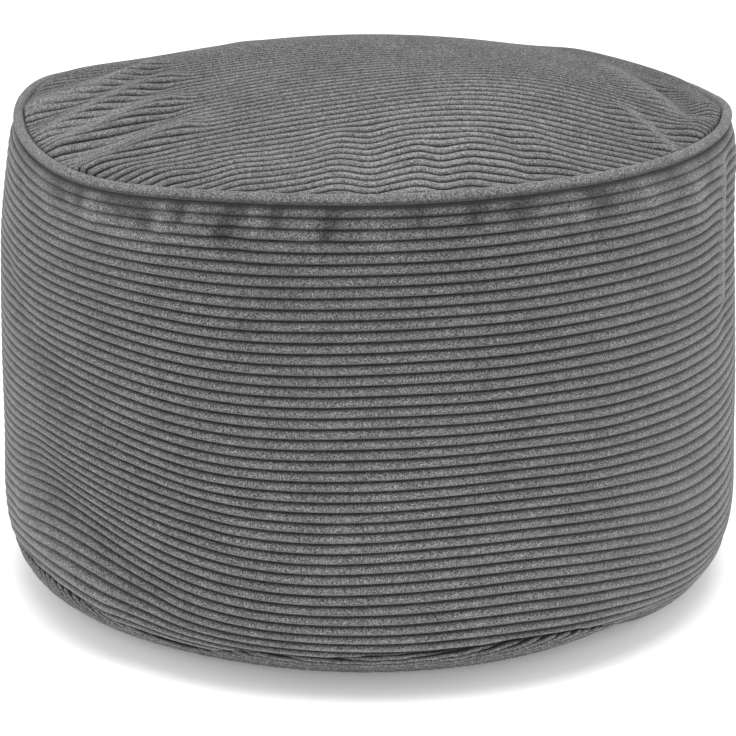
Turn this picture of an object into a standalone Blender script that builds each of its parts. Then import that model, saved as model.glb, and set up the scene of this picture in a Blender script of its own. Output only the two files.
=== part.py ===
"""Bean bag footstool: a round pouf covered in wide-ribbed corduroy, at its real size.

The filled bag is parted along its seams into the pieces that were cut and sewn: a crowned top
panel, a side band whose ribs run level round the bag, a base panel that lies flat where it
rests, and a ring of piping in the top seam. Each piece is a closed solid with its share of the
filling behind it. Metres, +Z up. The origin is the middle of the base, on the floor; the front
of the pouf faces -Y.

Azimuth is measured from the front (-Y) towards +X, so +90 degrees is the right-hand side.
"""
import bmesh
import bpy
import numpy as np

# ---- Driving dimensions, in metres ------------------------------------------------------------
GAP = 0.0003                # air between neighbouring pieces
SEGMENTS = 54               # facets round the side band, the piping and the base panel

RIM_HEIGHT = 0.3260         # middle of the piping above the floor, at the front
RIM_RADIUS = 0.2345         # middle of the piping from the rim's own centre
RIM_SHIFT = 0.0030          # how far the rim's centre leans to the right of the base
LEAN_HEIGHT = 0.2400        # above this the bag begins to lean
FOLLOW_HEIGHT = 0.1600      # above this the cloth follows the rises and dips of the rim
BACK_DIP = 0.0180           # how much lower the rim lies at the back than at the front
BACK_POWER = 3              # how late the rim begins to fall on its way to the back
PIPING_RADIUS = 0.0036
PIPING_FACETS = 8

CROWN_RISE = 0.0362         # top panel's middle above the rim
CROWN_POWER = 2.1           # 2 is a parabola; more is flatter on top
CHORD_CLEARANCE = 0.0004    # extra air where straight facets meet inside and below the piping
TOP_RADIUS = RIM_RADIUS - PIPING_RADIUS - GAP - CHORD_CLEARANCE
TOP_STEPS = 16              # facets along each rib of the top panel
END_RIB_INSET = 0.001       # share of the radius by which the first and last rib stay inside it
WALL_POWER = 4              # how late the rim's rises and dips begin on the way out from the middle

RIB_DEPTH = 0.0027          # groove below the crest of a rib
SIDE_RIBS = 45
TOP_RIBS = 66

RIB_START_HEIGHT = 0.0200   # where the side band's lowest rib would run on an even seam
SPREAD_HEIGHT = 0.0400      # below this the bag spreads on the floor
BASE_STEPS = 4              # rings between the resting circle and the base seam

# Shares of the side band, from each seam, over which its ribs come free to drift.
LOWER_HOLD = 0.20
UPPER_HOLD = 0.15
TAUT_POWER = 8              # how late the folds of the side band die out below the rim
CROWD_LENGTH = 0.0400       # how far up the side band its ribs crowd or spread above the base seam

RIB_TURN = 4.2              # degrees by which the top's ribs run towards the back on the right
EDGE_FULL_WIDTH = 0.0320    # how far in from the rim the top panel's full edges reach
EDGE_START_WIDTH = 0.0050   # how far in from the rim they are still held down
EDGE_START_SHARE = 0.35     # share of their fullness right at the rim
LEAST_WALL = 0.0010         # least height of the wall inside the piping

# Half outline of the filled bag, from the edge of its flat resting circle up to the rim.
#   height, radius
BAG_OUTLINE = (
    (0.0000, 0.1880),
    (0.0040, 0.2030),
    (0.0120, 0.2170),
    (0.0220, 0.2325),
    (0.0360, 0.2445),
    (0.0600, 0.2494),
    (0.1100, 0.2486),
    (0.1700, 0.2483),
    (0.2400, 0.2464),
    (0.2900, 0.2432),
    (0.3130, 0.2406),
    (RIM_HEIGHT - PIPING_RADIUS - GAP, 0.2366),
)

# The base seam's height above the floor, once round the bag.
#   azimuth (deg), height
BASE_SEAM = (
    (-180.0, 0.0260),
    (-150.0, 0.0240),
    (-120.0, 0.0270),
    (-95.0, 0.0340),
    (-75.0, 0.0400),
    (-62.0, 0.0410),
    (-50.0, 0.0360),
    (-40.0, 0.0270),
    (-32.0, 0.0190),
    (-26.0, 0.0215),
    (-19.0, 0.0285),
    (-8.0, 0.0290),
    (2.0, 0.0320),
    (20.0, 0.0358),
    (31.0, 0.0340),
    (38.0, 0.0290),
    (45.0, 0.0230),
    (54.0, 0.0200),
    (68.0, 0.0150),
    (88.0, 0.0140),
    (112.0, 0.0200),
    (145.0, 0.0260),
    (180.0, 0.0260),
)

# How the side band's ribs lie above or below level where they start.
#   azimuth (deg), spread (deg), lift
RIB_START_WAVES = (
    (-60.0, 30.0, 0.0130),
    (65.0, 30.0, -0.0080),
    (170.0, 35.0, 0.0050),
)

# Where the bag spreads wider on the floor than its outline says.
#   azimuth (deg), spread (deg), extra radius
FLOOR_WAVES = (
    (-78.0, 10.0, 0.0030),
    (-64.0, 26.0, 0.0130),
    (48.0, 7.0, -0.0050),
    (59.0, 8.0, 0.0085),
    (88.0, 24.0, 0.0225),
    (180.0, 40.0, 0.0060),
)

# Small rises and dips of the rim.
#   azimuth (deg), spread (deg), lift
RIM_WAVES = (
    (-53.0, 26.0, -0.0105),
    (26.0, 22.0, 0.0018),
    (86.0, 10.0, 0.0020),
    (108.0, 22.0, -0.0042),
    (-105.0, 17.0, 0.0040),
    (-132.0, 24.0, -0.0030),
    (142.0, 24.0, -0.0020),
)

# Where the level ribs of the side band drift up or down on the cloth.
#   azimuth (deg), height, azimuth spread (deg), height spread, lift
RIB_DRIFTS = (
    (-24.0, 0.170, 20.0, 0.150, -0.0045),
    (-50.0, 0.085, 20.0, 0.050, 0.0110),
    (18.0, 0.080, 20.0, 0.070, 0.0040),
    (70.0, 0.080, 20.0, 0.050, -0.0080),
    (135.0, 0.150, 30.0, 0.080, 0.0050),
    (-145.0, 0.110, 28.0, 0.060, -0.0050),
)

# Soft troughs (-) and ridges (+) of the side band, each along a line on the bag.
#   from azimuth (deg), height, to azimuth (deg), height, half width, rise
SIDE_FOLDS = (
    (-73.0, 0.235, -26.0, 0.118, 0.016, -0.0022),
    (-60.0, 0.120, -34.0, 0.062, 0.018, -0.0030),
    (-66.0, 0.075, -44.0, 0.045, 0.014, 0.0025),
    (73.0, 0.305, 72.0, 0.200, 0.018, -0.0025),
    (84.0, 0.110, 84.0, 0.045, 0.060, 0.0018),
    (-44.0, 0.312, -33.0, 0.290, 0.010, 0.0020),
    (-21.0, 0.318, -20.0, 0.295, 0.010, -0.0025),
    (52.0, 0.310, 60.0, 0.285, 0.012, 0.0018),
    (97.0, 0.315, 97.0, 0.250, 0.045, -0.0028),
    (118.0, 0.300, 150.0, 0.180, 0.018, -0.0030),
    (-155.0, 0.230, -118.0, 0.120, 0.018, -0.0030),
    (165.0, 0.110, -170.0, 0.060, 0.016, 0.0012),
)

# Where the filling makes the crown fuller (+) or slacker (-).
#   x, y, x spread, y spread, rise
CROWN_FORMS = (
    (-0.116, -0.071, 0.057, 0.077, -0.0043),
    (-0.177, -0.112, 0.026, 0.046, -0.0076),
    (-0.055, -0.165, 0.050, 0.035, -0.0035),
    (0.058, -0.140, 0.066, 0.100, 0.0088),
    (0.127, -0.079, 0.069, 0.070, 0.0078),
    (0.088, -0.187, 0.026, 0.028, 0.0046),
)

# Where the top panel stands full right behind its piping.
#   azimuth (deg), spread (deg), rise
EDGE_FULLNESS = (
    (-112.0, 26.0, 0.0040),
)

# Soft ridges (+) and troughs (-) of the top panel, each through three points in plan.
#   start x, y, middle x, y, end x, y, half width, rise
TOP_FOLDS = (
    (-0.180, -0.140, -0.156, -0.134, -0.120, -0.117, 0.011, 0.0040),
    (-0.201, -0.108, -0.170, -0.106, -0.130, -0.087, 0.010, -0.0022),
    (-0.199, -0.096, -0.173, -0.086, -0.132, -0.062, 0.011, 0.0038),
    (-0.210, -0.077, -0.182, -0.064, -0.140, -0.033, 0.010, -0.0020),
    (-0.209, -0.073, -0.179, -0.051, -0.137, -0.013, 0.011, 0.0038),
    (-0.219, -0.042, -0.188, -0.023, -0.150, 0.008, 0.010, -0.0022),
    (-0.224, -0.018, -0.184, -0.001, -0.150, 0.032, 0.012, 0.0042),
    (-0.222, 0.020, -0.190, 0.035, -0.160, 0.060, 0.012, -0.0020),
    (-0.168, -0.146, -0.150, -0.160, -0.125, -0.180, 0.012, 0.0030),
    (0.155, 0.040, 0.174, -0.014, 0.187, -0.044, 0.013, 0.0034),
    (0.192, 0.015, 0.203, -0.018, 0.209, -0.042, 0.013, -0.0055),
    (0.160, -0.092, 0.172, -0.108, 0.184, -0.126, 0.010, 0.0026),
    (0.172, -0.088, 0.182, -0.098, 0.190, -0.108, 0.010, -0.0030),
    (0.206, -0.088, 0.216, -0.058, 0.223, -0.015, 0.010, 0.0035),
    (0.098, -0.152, 0.113, -0.178, 0.120, -0.192, 0.011, 0.0010),
    (0.085, -0.165, 0.091, -0.182, 0.094, -0.198, 0.009, -0.0018),
    (-0.080, -0.226, -0.081, -0.205, -0.083, -0.180, 0.012, 0.0014),
    (-0.023, -0.227, -0.023, -0.200, -0.023, -0.160, 0.013, 0.0022),
    (-0.001, -0.227, -0.001, -0.200, -0.001, -0.160, 0.011, -0.0020),
    (0.027, -0.226, 0.027, -0.205, 0.027, -0.180, 0.010, 0.0016),
    (0.041, -0.224, 0.041, -0.207, 0.041, -0.185, 0.008, -0.0012),
    (0.060, -0.220, 0.060, -0.200, 0.060, -0.175, 0.011, 0.0016),
    (-0.120, 0.185, -0.105, 0.160, -0.092, 0.140, 0.014, 0.0010),
    (0.060, 0.215, 0.053, 0.192, 0.048, 0.170, 0.014, 0.0018),
    (0.150, 0.125, 0.175, 0.112, 0.205, 0.085, 0.030, 0.0048),
)

# ---- Finish -----------------------------------------------------------------------------------
#   red, green, blue (linear), roughness
TOP_FINISH = (0.165, 0.165, 0.168, 0.95)
SIDE_FINISH = (0.110, 0.110, 0.112, 0.95)
PIPING_FINISH = (0.140, 0.140, 0.143, 0.95)
BASE_FINISH = (0.090, 0.090, 0.092, 0.95)

SMOOTH_ANGLE = np.radians(40.0)     # edges sharper than this stay crisp


# ---- Curves and soft forms --------------------------------------------------------------------
def catmull_rom(points, steps=16):
    """A smooth curve through every point of a polyline."""
    points = np.asarray(points, float)
    before = np.vstack([2 * points[0] - points[1], points[:-1]])
    after = np.vstack([points[1:], 2 * points[-1] - points[-2]])
    slope = (after - before) / 2
    curve = []
    for here, there, leave, arrive in zip(points[:-1], points[1:], slope[:-1], slope[1:]):
        for u in np.arange(steps) / steps:
            blend = 3 * u ** 2 - 2 * u ** 3
            point = here + (there - here) * blend
            point = point + leave * (u ** 3 - 2 * u ** 2 + u) + arrive * (u ** 3 - u ** 2)
            curve.append(point)
    curve.append(points[-1])
    return np.array(curve)


OUTLINE = catmull_rom(BAG_OUTLINE)
OUTLINE_LENGTH = np.concatenate([[0.0], np.cumsum(np.hypot(*np.diff(OUTLINE, axis=0).T))])
OUTLINE_TANGENT = np.gradient(OUTLINE, OUTLINE_LENGTH, axis=0)


def smooth_step(x):
    x = np.clip(x, 0.0, 1.0)
    return x * x * (3 - 2 * x)


def turn(azimuth, centre):
    """Signed angle in degrees from centre to azimuth, the short way round."""
    return (np.degrees(azimuth) - centre + 180.0) % 360.0 - 180.0


def waves(azimuth, table):
    """Sum of soft bumps round the bag."""
    total = np.zeros_like(azimuth)
    for centre, spread, lift in table:
        total = total + lift * np.exp(-(turn(azimuth, centre) / spread) ** 2)
    return total


def line_distance(x, y, points, samples=13):
    """Distance from (x, y) to a smooth line through a few points."""
    path = catmull_rom(points, samples)
    steps = (x[..., None] - path[:, 0], y[..., None] - path[:, 1])
    return np.sqrt((steps[0] ** 2 + steps[1] ** 2).min(axis=-1))


def side_fold(azimuth, height):
    """How far the side band stands proud (+) or sinks (-) at a place on the bag."""
    total = np.zeros_like(azimuth)
    for start, start_height, end, end_height, half_width, rise in SIDE_FOLDS:
        around = np.radians(turn(azimuth, start)) * RIM_RADIUS
        reach = np.radians(turn(np.radians(end), start)) * RIM_RADIUS
        away = line_distance(around, height, ((0.0, start_height), (reach, end_height)))
        total = total + rise * np.exp(-(away / half_width) ** 2)
    return total


def top_fold(x, y):
    """Height that the folds of the top panel add at (x, y)."""
    total = np.zeros_like(x)
    for x0, y0, x1, y1, x2, y2, half_width, rise in TOP_FOLDS:
        away = line_distance(x, y, ((x0, y0), (x1, y1), (x2, y2)))
        total = total + rise * np.exp(-(away / half_width) ** 2)
    return total


# ---- The bag's surface ------------------------------------------------------------------------
def rim_height(azimuth):
    """Height of the middle of the piping."""
    back = (1 - np.cos(azimuth)) / 2
    return RIM_HEIGHT - BACK_DIP * back ** BACK_POWER + waves(azimuth, RIM_WAVES)


def base_seam_height(azimuth):
    seam = catmull_rom(BASE_SEAM)
    return np.interp(turn(azimuth, 0.0), seam[:, 0], seam[:, 1])


def bag_point(azimuth, along, sink):
    """Point on the bag at an arc length up its outline, sunk below the surface by sink."""
    height = np.interp(along, OUTLINE_LENGTH, OUTLINE[:, 0])
    radius = np.interp(along, OUTLINE_LENGTH, OUTLINE[:, 1])
    rise = np.interp(along, OUTLINE_LENGTH, OUTLINE_TANGENT[:, 0])
    spread = np.interp(along, OUTLINE_LENGTH, OUTLINE_TANGENT[:, 1])
    upper = smooth_step((height - FOLLOW_HEIGHT) / (RIM_HEIGHT - FOLLOW_HEIGHT))
    lean = smooth_step((height - LEAN_HEIGHT) / (RIM_HEIGHT - LEAN_HEIGHT))
    off_floor = smooth_step(height / RIB_START_HEIGHT)
    proud = side_fold(azimuth, height) * off_floor * (1 - upper ** TAUT_POWER) - sink
    radius = radius + proud * rise
    radius = radius + waves(azimuth, FLOOR_WAVES) * (1 - smooth_step(height / SPREAD_HEIGHT))
    height = height - proud * spread + (rim_height(azimuth) - RIM_HEIGHT) * upper
    x = radius * np.sin(azimuth) + RIM_SHIFT * lean
    return np.stack([x, -radius * np.cos(azimuth), height], axis=-1)


def rim_point(azimuth, radius, lift):
    """Point beside the piping: radius from the rim's centre, lift above the piping's middle."""
    x = radius * np.sin(azimuth) + RIM_SHIFT
    return np.stack([x, -radius * np.cos(azimuth), rim_height(azimuth) + lift], axis=-1)


def crown_height(x, y):
    """Top panel's height without its ribs, over (x, y) measured from the rim's centre."""
    out = np.clip(np.hypot(x, y) / RIM_RADIUS, 0.0, 1.0)
    azimuth = np.arctan2(x, -y)
    back = (1 + y / RIM_RADIUS) / 2
    height = RIM_HEIGHT + CROWN_RISE * (1 - out ** CROWN_POWER) - BACK_DIP * back ** BACK_POWER
    inward = np.maximum(TOP_RADIUS - np.hypot(x, y), 0.0)
    started = 1 - (1 - EDGE_START_SHARE) * np.exp(-(inward / EDGE_START_WIDTH) ** 2)
    edge = started * np.exp(-(inward / EDGE_FULL_WIDTH) ** 2)
    height = height + waves(azimuth, EDGE_FULLNESS) * edge
    for middle_x, middle_y, wide, deep, rise in CROWN_FORMS:
        place = ((x - middle_x) / wide) ** 2 + ((y - middle_y) / deep) ** 2
        height = height + rise * (1 - out ** WALL_POWER) * np.exp(-place)
    return height + waves(azimuth, RIM_WAVES) * out ** WALL_POWER + top_fold(x, y)


# ---- Building closed solids -------------------------------------------------------------------
def new_material(name, finish):
    material = bpy.data.materials.new(name)
    material.use_nodes = True
    shader = material.node_tree.nodes["Principled BSDF"]
    shader.inputs["Base Color"].default_value = (*finish[:3], 1.0)
    shader.inputs["Roughness"].default_value = finish[3]
    shader.inputs["Metallic"].default_value = 0.0
    material.diffuse_color = (*finish[:3], 1.0)
    return material


def new_solid(name, points, faces, finish):
    """One object of one closed mesh, its faces turned outwards."""
    mesh = bpy.data.meshes.new(name)
    mesh.from_pydata([tuple(point) for point in points], [], faces)
    shape = bmesh.new()
    shape.from_mesh(mesh)
    bmesh.ops.recalc_face_normals(shape, faces=shape.faces)
    bmesh.ops.triangulate(shape, faces=shape.faces)
    shape.to_mesh(mesh)
    shape.free()
    mesh.shade_smooth()
    mesh.set_sharp_from_angle(angle=SMOOTH_ANGLE)
    mesh.materials.append(new_material(name + "_cloth", finish))
    solid = bpy.data.objects.new(name, mesh)
    bpy.context.scene.collection.objects.link(solid)
    return solid


def strips(loops, size, closed):
    """Quads between loops of equal size; closed also joins the last loop to the first."""
    faces = []
    count = len(loops)
    for row in range(count if closed else count - 1):
        low = row * size
        high = (row + 1) % count * size
        for i in range(size):
            j = (i + 1) % size
            faces.append((low + i, low + j, high + j, high + i))
    return faces


def capped_stack(name, loops, bottom_centre, top_centre, finish):
    """A solid of stacked loops, its two ends closed by fans to a middle point."""
    size = len(loops[0])
    points = np.vstack([*loops, [bottom_centre], [top_centre]])
    faces = strips(loops, size, closed=False)
    low_middle = len(loops) * size
    high_start = (len(loops) - 1) * size
    for i in range(size):
        j = (i + 1) % size
        faces.append((i, j, low_middle))
        faces.append((high_start + i, high_start + j, low_middle + 1))
    return new_solid(name, points, faces, finish)


# ---- The four pieces --------------------------------------------------------------------------
def round_azimuths():
    return np.arange(SEGMENTS) * 2 * np.pi / SEGMENTS


def seam_along(azimuth):
    """Arc length up the outline at which the base seam lies."""
    return np.interp(base_seam_height(azimuth), OUTLINE[:, 0], OUTLINE_LENGTH)


def make_side_band():
    """The boxing strip: level ribs from the base seam to the rim, drawn in at both seams."""
    azimuth = round_azimuths()
    seam = seam_along(azimuth)
    start = RIB_START_HEIGHT + waves(azimuth, RIB_START_WAVES)
    start = np.interp(start, OUTLINE[:, 0], OUTLINE_LENGTH)
    top = OUTLINE_LENGTH[-1]
    loops = []
    rings = 2 * SIDE_RIBS
    for ring in range(rings + 1):
        share = ring / rings
        along = start + (top - start) * share
        along = along + (seam - start) * np.exp(-(along - start) / CROWD_LENGTH)
        height = np.interp(along, OUTLINE_LENGTH, OUTLINE[:, 0])
        drift = np.zeros_like(azimuth)
        for centre, middle, spread, tall, lift in RIB_DRIFTS:
            place = (turn(azimuth, centre) / spread) ** 2 + ((height - middle) / tall) ** 2
            drift = drift + lift * np.exp(-place)
        hold = smooth_step(share / LOWER_HOLD) * smooth_step((1 - share) / UPPER_HOLD)
        sink = RIB_DEPTH if ring % 2 == 0 else 0.0
        loops.append(bag_point(azimuth, along + drift * hold, sink))
    loops[0][:, 2] += GAP / 2
    loops[-1][:, 2] = rim_height(azimuth) - PIPING_RADIUS - GAP - CHORD_CLEARANCE
    floor_middle = (0.0, 0.0, loops[0][:, 2].mean())
    roof_middle = (RIM_SHIFT, 0.0, loops[-1][:, 2].mean())
    return capped_stack("side_band", loops, floor_middle, roof_middle, SIDE_FINISH)


def make_base_panel():
    """The round panel underneath: a flat resting circle that curls up to the base seam."""
    azimuth = round_azimuths()
    seam = seam_along(azimuth)
    loops = []
    for step in range(BASE_STEPS + 1):
        sink = RIB_DEPTH if step == BASE_STEPS else 0.0
        loops.append(bag_point(azimuth, seam * step / BASE_STEPS, sink))
    loops[-1][:, 2] -= GAP / 2
    roof_middle = (0.0, 0.0, loops[-1][:, 2].mean())
    return capped_stack("base_panel", loops, (0.0, 0.0, 0.0), roof_middle, BASE_FINISH)


def make_top_piping():
    """A covered cord lying in the corner between the side band and the top panel."""
    azimuth = round_azimuths()
    loops = []
    for facet in range(PIPING_FACETS):
        angle = (facet + 0.5) * 2 * np.pi / PIPING_FACETS
        reach = PIPING_RADIUS * np.array([np.cos(angle), np.sin(angle)])
        loops.append(rim_point(azimuth, RIM_RADIUS + reach[0], reach[1]))
    faces = strips(loops, SEGMENTS, closed=True)
    return new_solid("top_piping", np.vstack(loops), faces, PIPING_FINISH)


def make_top_panel():
    """The crowned disc: straight ribs from left to right, on a short wall inside the piping."""
    rows = 2 * TOP_RIBS
    first = TOP_RADIUS * (1 - END_RIB_INSET)
    share = np.arange(rows + 1) / rows
    y = first * (2 * share - 1)
    half_chord = np.sqrt(TOP_RADIUS ** 2 - y ** 2)
    u = np.linspace(-1.0, 1.0, TOP_STEPS + 1)
    grid_x = half_chord[:, None] * u[None, :]
    grid_y = np.repeat(y[:, None], TOP_STEPS + 1, axis=1)
    heading = np.radians(RIB_TURN)
    turned_x = grid_x * np.cos(heading) - grid_y * np.sin(heading)
    grid_y = grid_x * np.sin(heading) + grid_y * np.cos(heading)
    grid_x = turned_x
    sink = np.where(np.arange(rows + 1) % 2 == 0, RIB_DEPTH, 0.0)
    grid_z = crown_height(grid_x, grid_y) - sink[:, None]
    lowest = rim_height(np.arctan2(grid_x, -grid_y)) - PIPING_RADIUS + LEAST_WALL
    grid_z = np.maximum(grid_z, lowest)
    points = [np.stack([grid_x + RIM_SHIFT, grid_y, grid_z], axis=-1).reshape(-1, 3)]

    across = TOP_STEPS + 1
    faces = []
    for row in range(rows):
        for step in range(TOP_STEPS):
            low = row * across + step
            faces.append((low, low + 1, low + across + 1, low + across))

    front = list(range(across))
    right = [row * across + TOP_STEPS for row in range(1, rows)]
    back = [rows * across + step for step in reversed(range(across))]
    left = [row * across for row in reversed(range(1, rows))]
    edge = front + right + back + left

    edge_x = points[0][edge, 0] - RIM_SHIFT
    edge_y = points[0][edge, 1]
    azimuth = np.arctan2(edge_x, -edge_y)
    foot = rim_point(azimuth, np.hypot(edge_x, edge_y), -PIPING_RADIUS)
    middle = [[RIM_SHIFT, 0.0, rim_height(round_azimuths()).mean() - PIPING_RADIUS]]
    start = len(points[0])
    points = np.vstack([points[0], foot, middle])
    for i in range(len(edge)):
        j = (i + 1) % len(edge)
        faces.append((edge[i], edge[j], start + j, start + i))
        faces.append((start + i, start + j, len(points) - 1))
    return new_solid("top_panel", points, faces, TOP_FINISH)


def clear_scene():
    for item in list(bpy.data.objects):
        bpy.data.objects.remove(item, do_unlink=True)


def main():
    clear_scene()
    make_base_panel()
    make_side_band()
    make_top_piping()
    make_top_panel()


main()
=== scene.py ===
"""Bean bag footstool in wide-ribbed corduroy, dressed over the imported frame.

Each CAD solid is replaced by its cloth: a crowned top panel, a side band with level ribs, a base
panel that lies flat where it rests, and a covered cord in the top seam. Metres, +Z up, front
towards -Y. Azimuth is measured from the front towards +X, so +90 degrees is the right-hand side.
"""
import math

import bpy
import numpy as np
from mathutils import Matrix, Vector


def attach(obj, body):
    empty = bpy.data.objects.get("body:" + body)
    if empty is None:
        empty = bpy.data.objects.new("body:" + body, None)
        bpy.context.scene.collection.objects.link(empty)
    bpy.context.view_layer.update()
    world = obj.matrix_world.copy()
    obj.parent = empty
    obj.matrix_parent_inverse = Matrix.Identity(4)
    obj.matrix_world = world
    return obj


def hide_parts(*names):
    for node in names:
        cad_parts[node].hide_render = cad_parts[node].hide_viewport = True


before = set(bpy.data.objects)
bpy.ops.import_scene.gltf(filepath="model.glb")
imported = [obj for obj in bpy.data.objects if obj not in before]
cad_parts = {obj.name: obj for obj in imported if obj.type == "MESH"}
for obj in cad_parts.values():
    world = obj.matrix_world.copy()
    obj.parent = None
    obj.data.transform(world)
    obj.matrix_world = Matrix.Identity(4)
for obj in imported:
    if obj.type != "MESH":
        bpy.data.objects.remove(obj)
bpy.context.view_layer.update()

# ---- The bag's sizes, in metres, as in the CAD solids ----------------------------------------
GAP = 0.0003                 # least air between neighbouring pieces
RIM_HEIGHT = 0.3260          # middle of the piping
RIM_RADIUS = 0.2345
RIM_SHIFT = 0.0030           # how far the rim sits to the right of the base
LEAN_HEIGHT = 0.2400         # the bag leans to the right from here up
FOLLOW_HEIGHT = 0.1600       # the side band follows the rim's rise and fall from here up
BACK_DIP = 0.0180            # how much lower the rim lies at the back
BACK_POWER = 3               # more keeps that dip further back
PIPING_RADIUS = 0.0036
CROWN_RISE = 0.0362
CROWN_POWER = 2.1            # more makes the crown flatter in the middle
FACET_SLACK = 0.0002         # extra air between the top panel and the piping's flat facets
TOP_RADIUS = RIM_RADIUS - PIPING_RADIUS - GAP - FACET_SLACK
WALL_POWER = 4               # more keeps the rim's rise and fall nearer to the seam
LEAST_WALL = 0.0010          # least height of the wall inside the piping
SIDE_RIBS = 45
TOP_RIBS = 66
RIB_START_HEIGHT = 0.0200    # where the side band's lowest rib would run on an even seam
SPREAD_HEIGHT = 0.0400       # how far up the foot of the bag spreads or draws in
LOWER_HOLD = 0.10            # share of the side band's height over which drift starts
UPPER_HOLD = 0.15            # share of the side band's height over which drift ends
TAUT_POWER = 24              # how soon the folds of the side band end below the piping

# ---- The cloth's own detail -------------------------------------------------------------------
RIB_DEPTH = 0.0024
TOP_RIB_DEPTH = 0.0032
DEPTH_UNEVENNESS = 0.12      # share by which the ribs' depth varies
SIDE_WANDER = 0.0007         # how far the side band's ribs stray
TOP_WANDER = 0.0006          # how far the top panel's ribs stray
TOP_WANDER_FADE = 0.12       # share of the top panel's radius over which that ends at the seam
EDGE_ROWS = 0.9995           # share of the top panel's radius where its first and last rows lie
SEAM_STEP = 0.00002          # keeps the rows that the base seam cuts off just apart
SEAM_TUCK = 0.0020           # how far up from its seam the side band curls in
RIB_PITCH = 0.0070
SIDE_COLUMNS = 356           # points round the side band
FRONT_CROWDING = 0.25        # how much closer the side band's columns stand at the front
TOP_STEPS = 238              # steps along each row of the top panel
PIPING_SEGMENTS = 720
PIPING_SIDES = 24
PIPING_PAINTED_LIGHT = 0.20           # how much painted light the piping has on top, and painted shade below
PIPING_UNDERSIDE = 0.10      # sine of the angle on the cord below which painted shade darkens its cloth
UNDERSIDE_REACH = 0.5        # how much further that sine falls until that painted shade is darkest
PIPING_MEAN = 0.985          # mean of the covered cord's thickness, as a share of the cord's in CAD
PIPING_UNEVENNESS = 0.03     # how far it varies, as such a share
BASE_SEGMENTS = 1800
BASE_CURL_RINGS = 48
BASE_FLAT_RINGS = 5
BASE_PRESSED = 0.008         # how far up from the floor the base panel's ribs are pressed in
BASE_TUCK = 0.05             # share of the base panel's curl that turns in to its seam
BASE_RIB_DEPTH = 0.0034
BASE_RIB_CURVE = 0.9         # more makes the base panel's grooves narrower
BASE_RIB_WANDER = 0.0008     # how far the base panel's ribs stray
GATHERS = 78                 # eased folds of the base panel all along its seam
GATHER = 0.0004              # how far those folds stand out
GATHER_SHIFT = 2             # how unevenly they are spaced

# Random unevenness.
#   seed, wavelength
SIDE_WANDER_NOISE = (3, 0.090)
SIDE_DEPTH_NOISE = (5, 0.050)
TOP_WANDER_NOISE = (7, 0.070)
TOP_DEPTH_NOISE = (11, 0.050)
PIPING_NOISE = (13, 0.030)
GATHER_SHIFT_NOISE = (17, 0.120)
GATHER_SIZE_NOISE = (19, 0.200)
BASE_WANDER_NOISE = (21, 0.045)
CRUSHED_NOISE = (23, 0.014)
WAVES_ADDED = 14
SHORTEST_WAVE = 0.6          # share of the wavelength asked for
LONGEST_WAVE = 1.8
TALLEST_WAVE = 1.5           # brings the sum to about -1 to 1

# The shade column paints each groove darker: partly its bare backing cloth, partly painted shade where
# the ribs hide the light.
# One rib, from its lower or front groove to the next.
#   place across the rib, share of the groove's depth, share of the groove's shade
RIB_PROFILE = (
    (0.00, 1.00, 1.00),
    (0.09, 0.50, 0.70),
    (0.22, 0.12, 0.22),
    (0.50, 0.00, 0.00),
    (0.78, 0.12, 0.22),
    (0.91, 0.50, 0.70),
)
RIB_PAINTED_SHADOW = 0.34           # painted shadow on the side band's ribs just below each groove, cast by the rib above
RIB_SHADOW_START = 0.36           # place across the rib where that painted shadow starts
RIB_SHADOW_REACH = 0.42           # how much further up it is full
FRONT_PAINTED_SHADE = 0.03           # painted shade on the front flank of the top panel's ribs, which faces away from the light
BACK_FALL_PAINTED_SHADE = 0.60             # how much painted shade the top panel gets where it falls to the back, and painted light where it rises
TOP_PAINTED_LEVEL = -0.02
TOP_PAINTED_LIMIT = 0.2
SIDE_LAMP_PAINTED_LIGHT = 0.60         # painted light from the side lamps: how much less the grooves darken on the left and right
SIDE_ON_POWER = 4            # more keeps the left and right narrower

# The bag's outline from the floor to its top seam.
#   height, radius
BAG_OUTLINE = (
    (0.0000, 0.1880),
    (0.0040, 0.2030),
    (0.0120, 0.2170),
    (0.0220, 0.2325),
    (0.0360, 0.2445),
    (0.0600, 0.2494),
    (0.1100, 0.2486),
    (0.1700, 0.2483),
    (0.2400, 0.2464),
    (0.2900, 0.2432),
    (0.3130, 0.2406),
    (RIM_HEIGHT - PIPING_RADIUS - GAP, 0.2366),
)

# The seam of the base panel, once round the bag.
#   azimuth (deg), height
BASE_SEAM = (
    (-180.0, 0.0260),
    (-150.0, 0.0240),
    (-120.0, 0.0270),
    (-95.0, 0.0340),
    (-75.0, 0.0400),
    (-62.0, 0.0410),
    (-50.0, 0.0360),
    (-40.0, 0.0270),
    (-32.0, 0.0190),
    (-26.0, 0.0215),
    (-19.0, 0.0285),
    (-8.0, 0.0290),
    (2.0, 0.0320),
    (20.0, 0.0358),
    (31.0, 0.0340),
    (38.0, 0.0290),
    (45.0, 0.0230),
    (54.0, 0.0200),
    (68.0, 0.0150),
    (88.0, 0.0140),
    (112.0, 0.0200),
    (145.0, 0.0260),
    (180.0, 0.0260),
)

# How the side band's lowest rib drifts from level, where the base seam cuts it off.
#   azimuth (deg), spread (deg), lift
RIB_START_WAVES = (
    (-60.0, 30.0, 0.0130),
    (65.0, 30.0, -0.0080),
    (170.0, 35.0, 0.0050),
)

# How the foot of the bag spreads or draws in.
#   azimuth (deg), spread (deg), extra radius
FLOOR_WAVES = (
    (-78.0, 10.0, 0.0030),
    (-64.0, 26.0, 0.0130),
    (48.0, 7.0, -0.0050),
    (59.0, 8.0, 0.0085),
    (88.0, 24.0, 0.0225),
    (180.0, 40.0, 0.0060),
)

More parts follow.
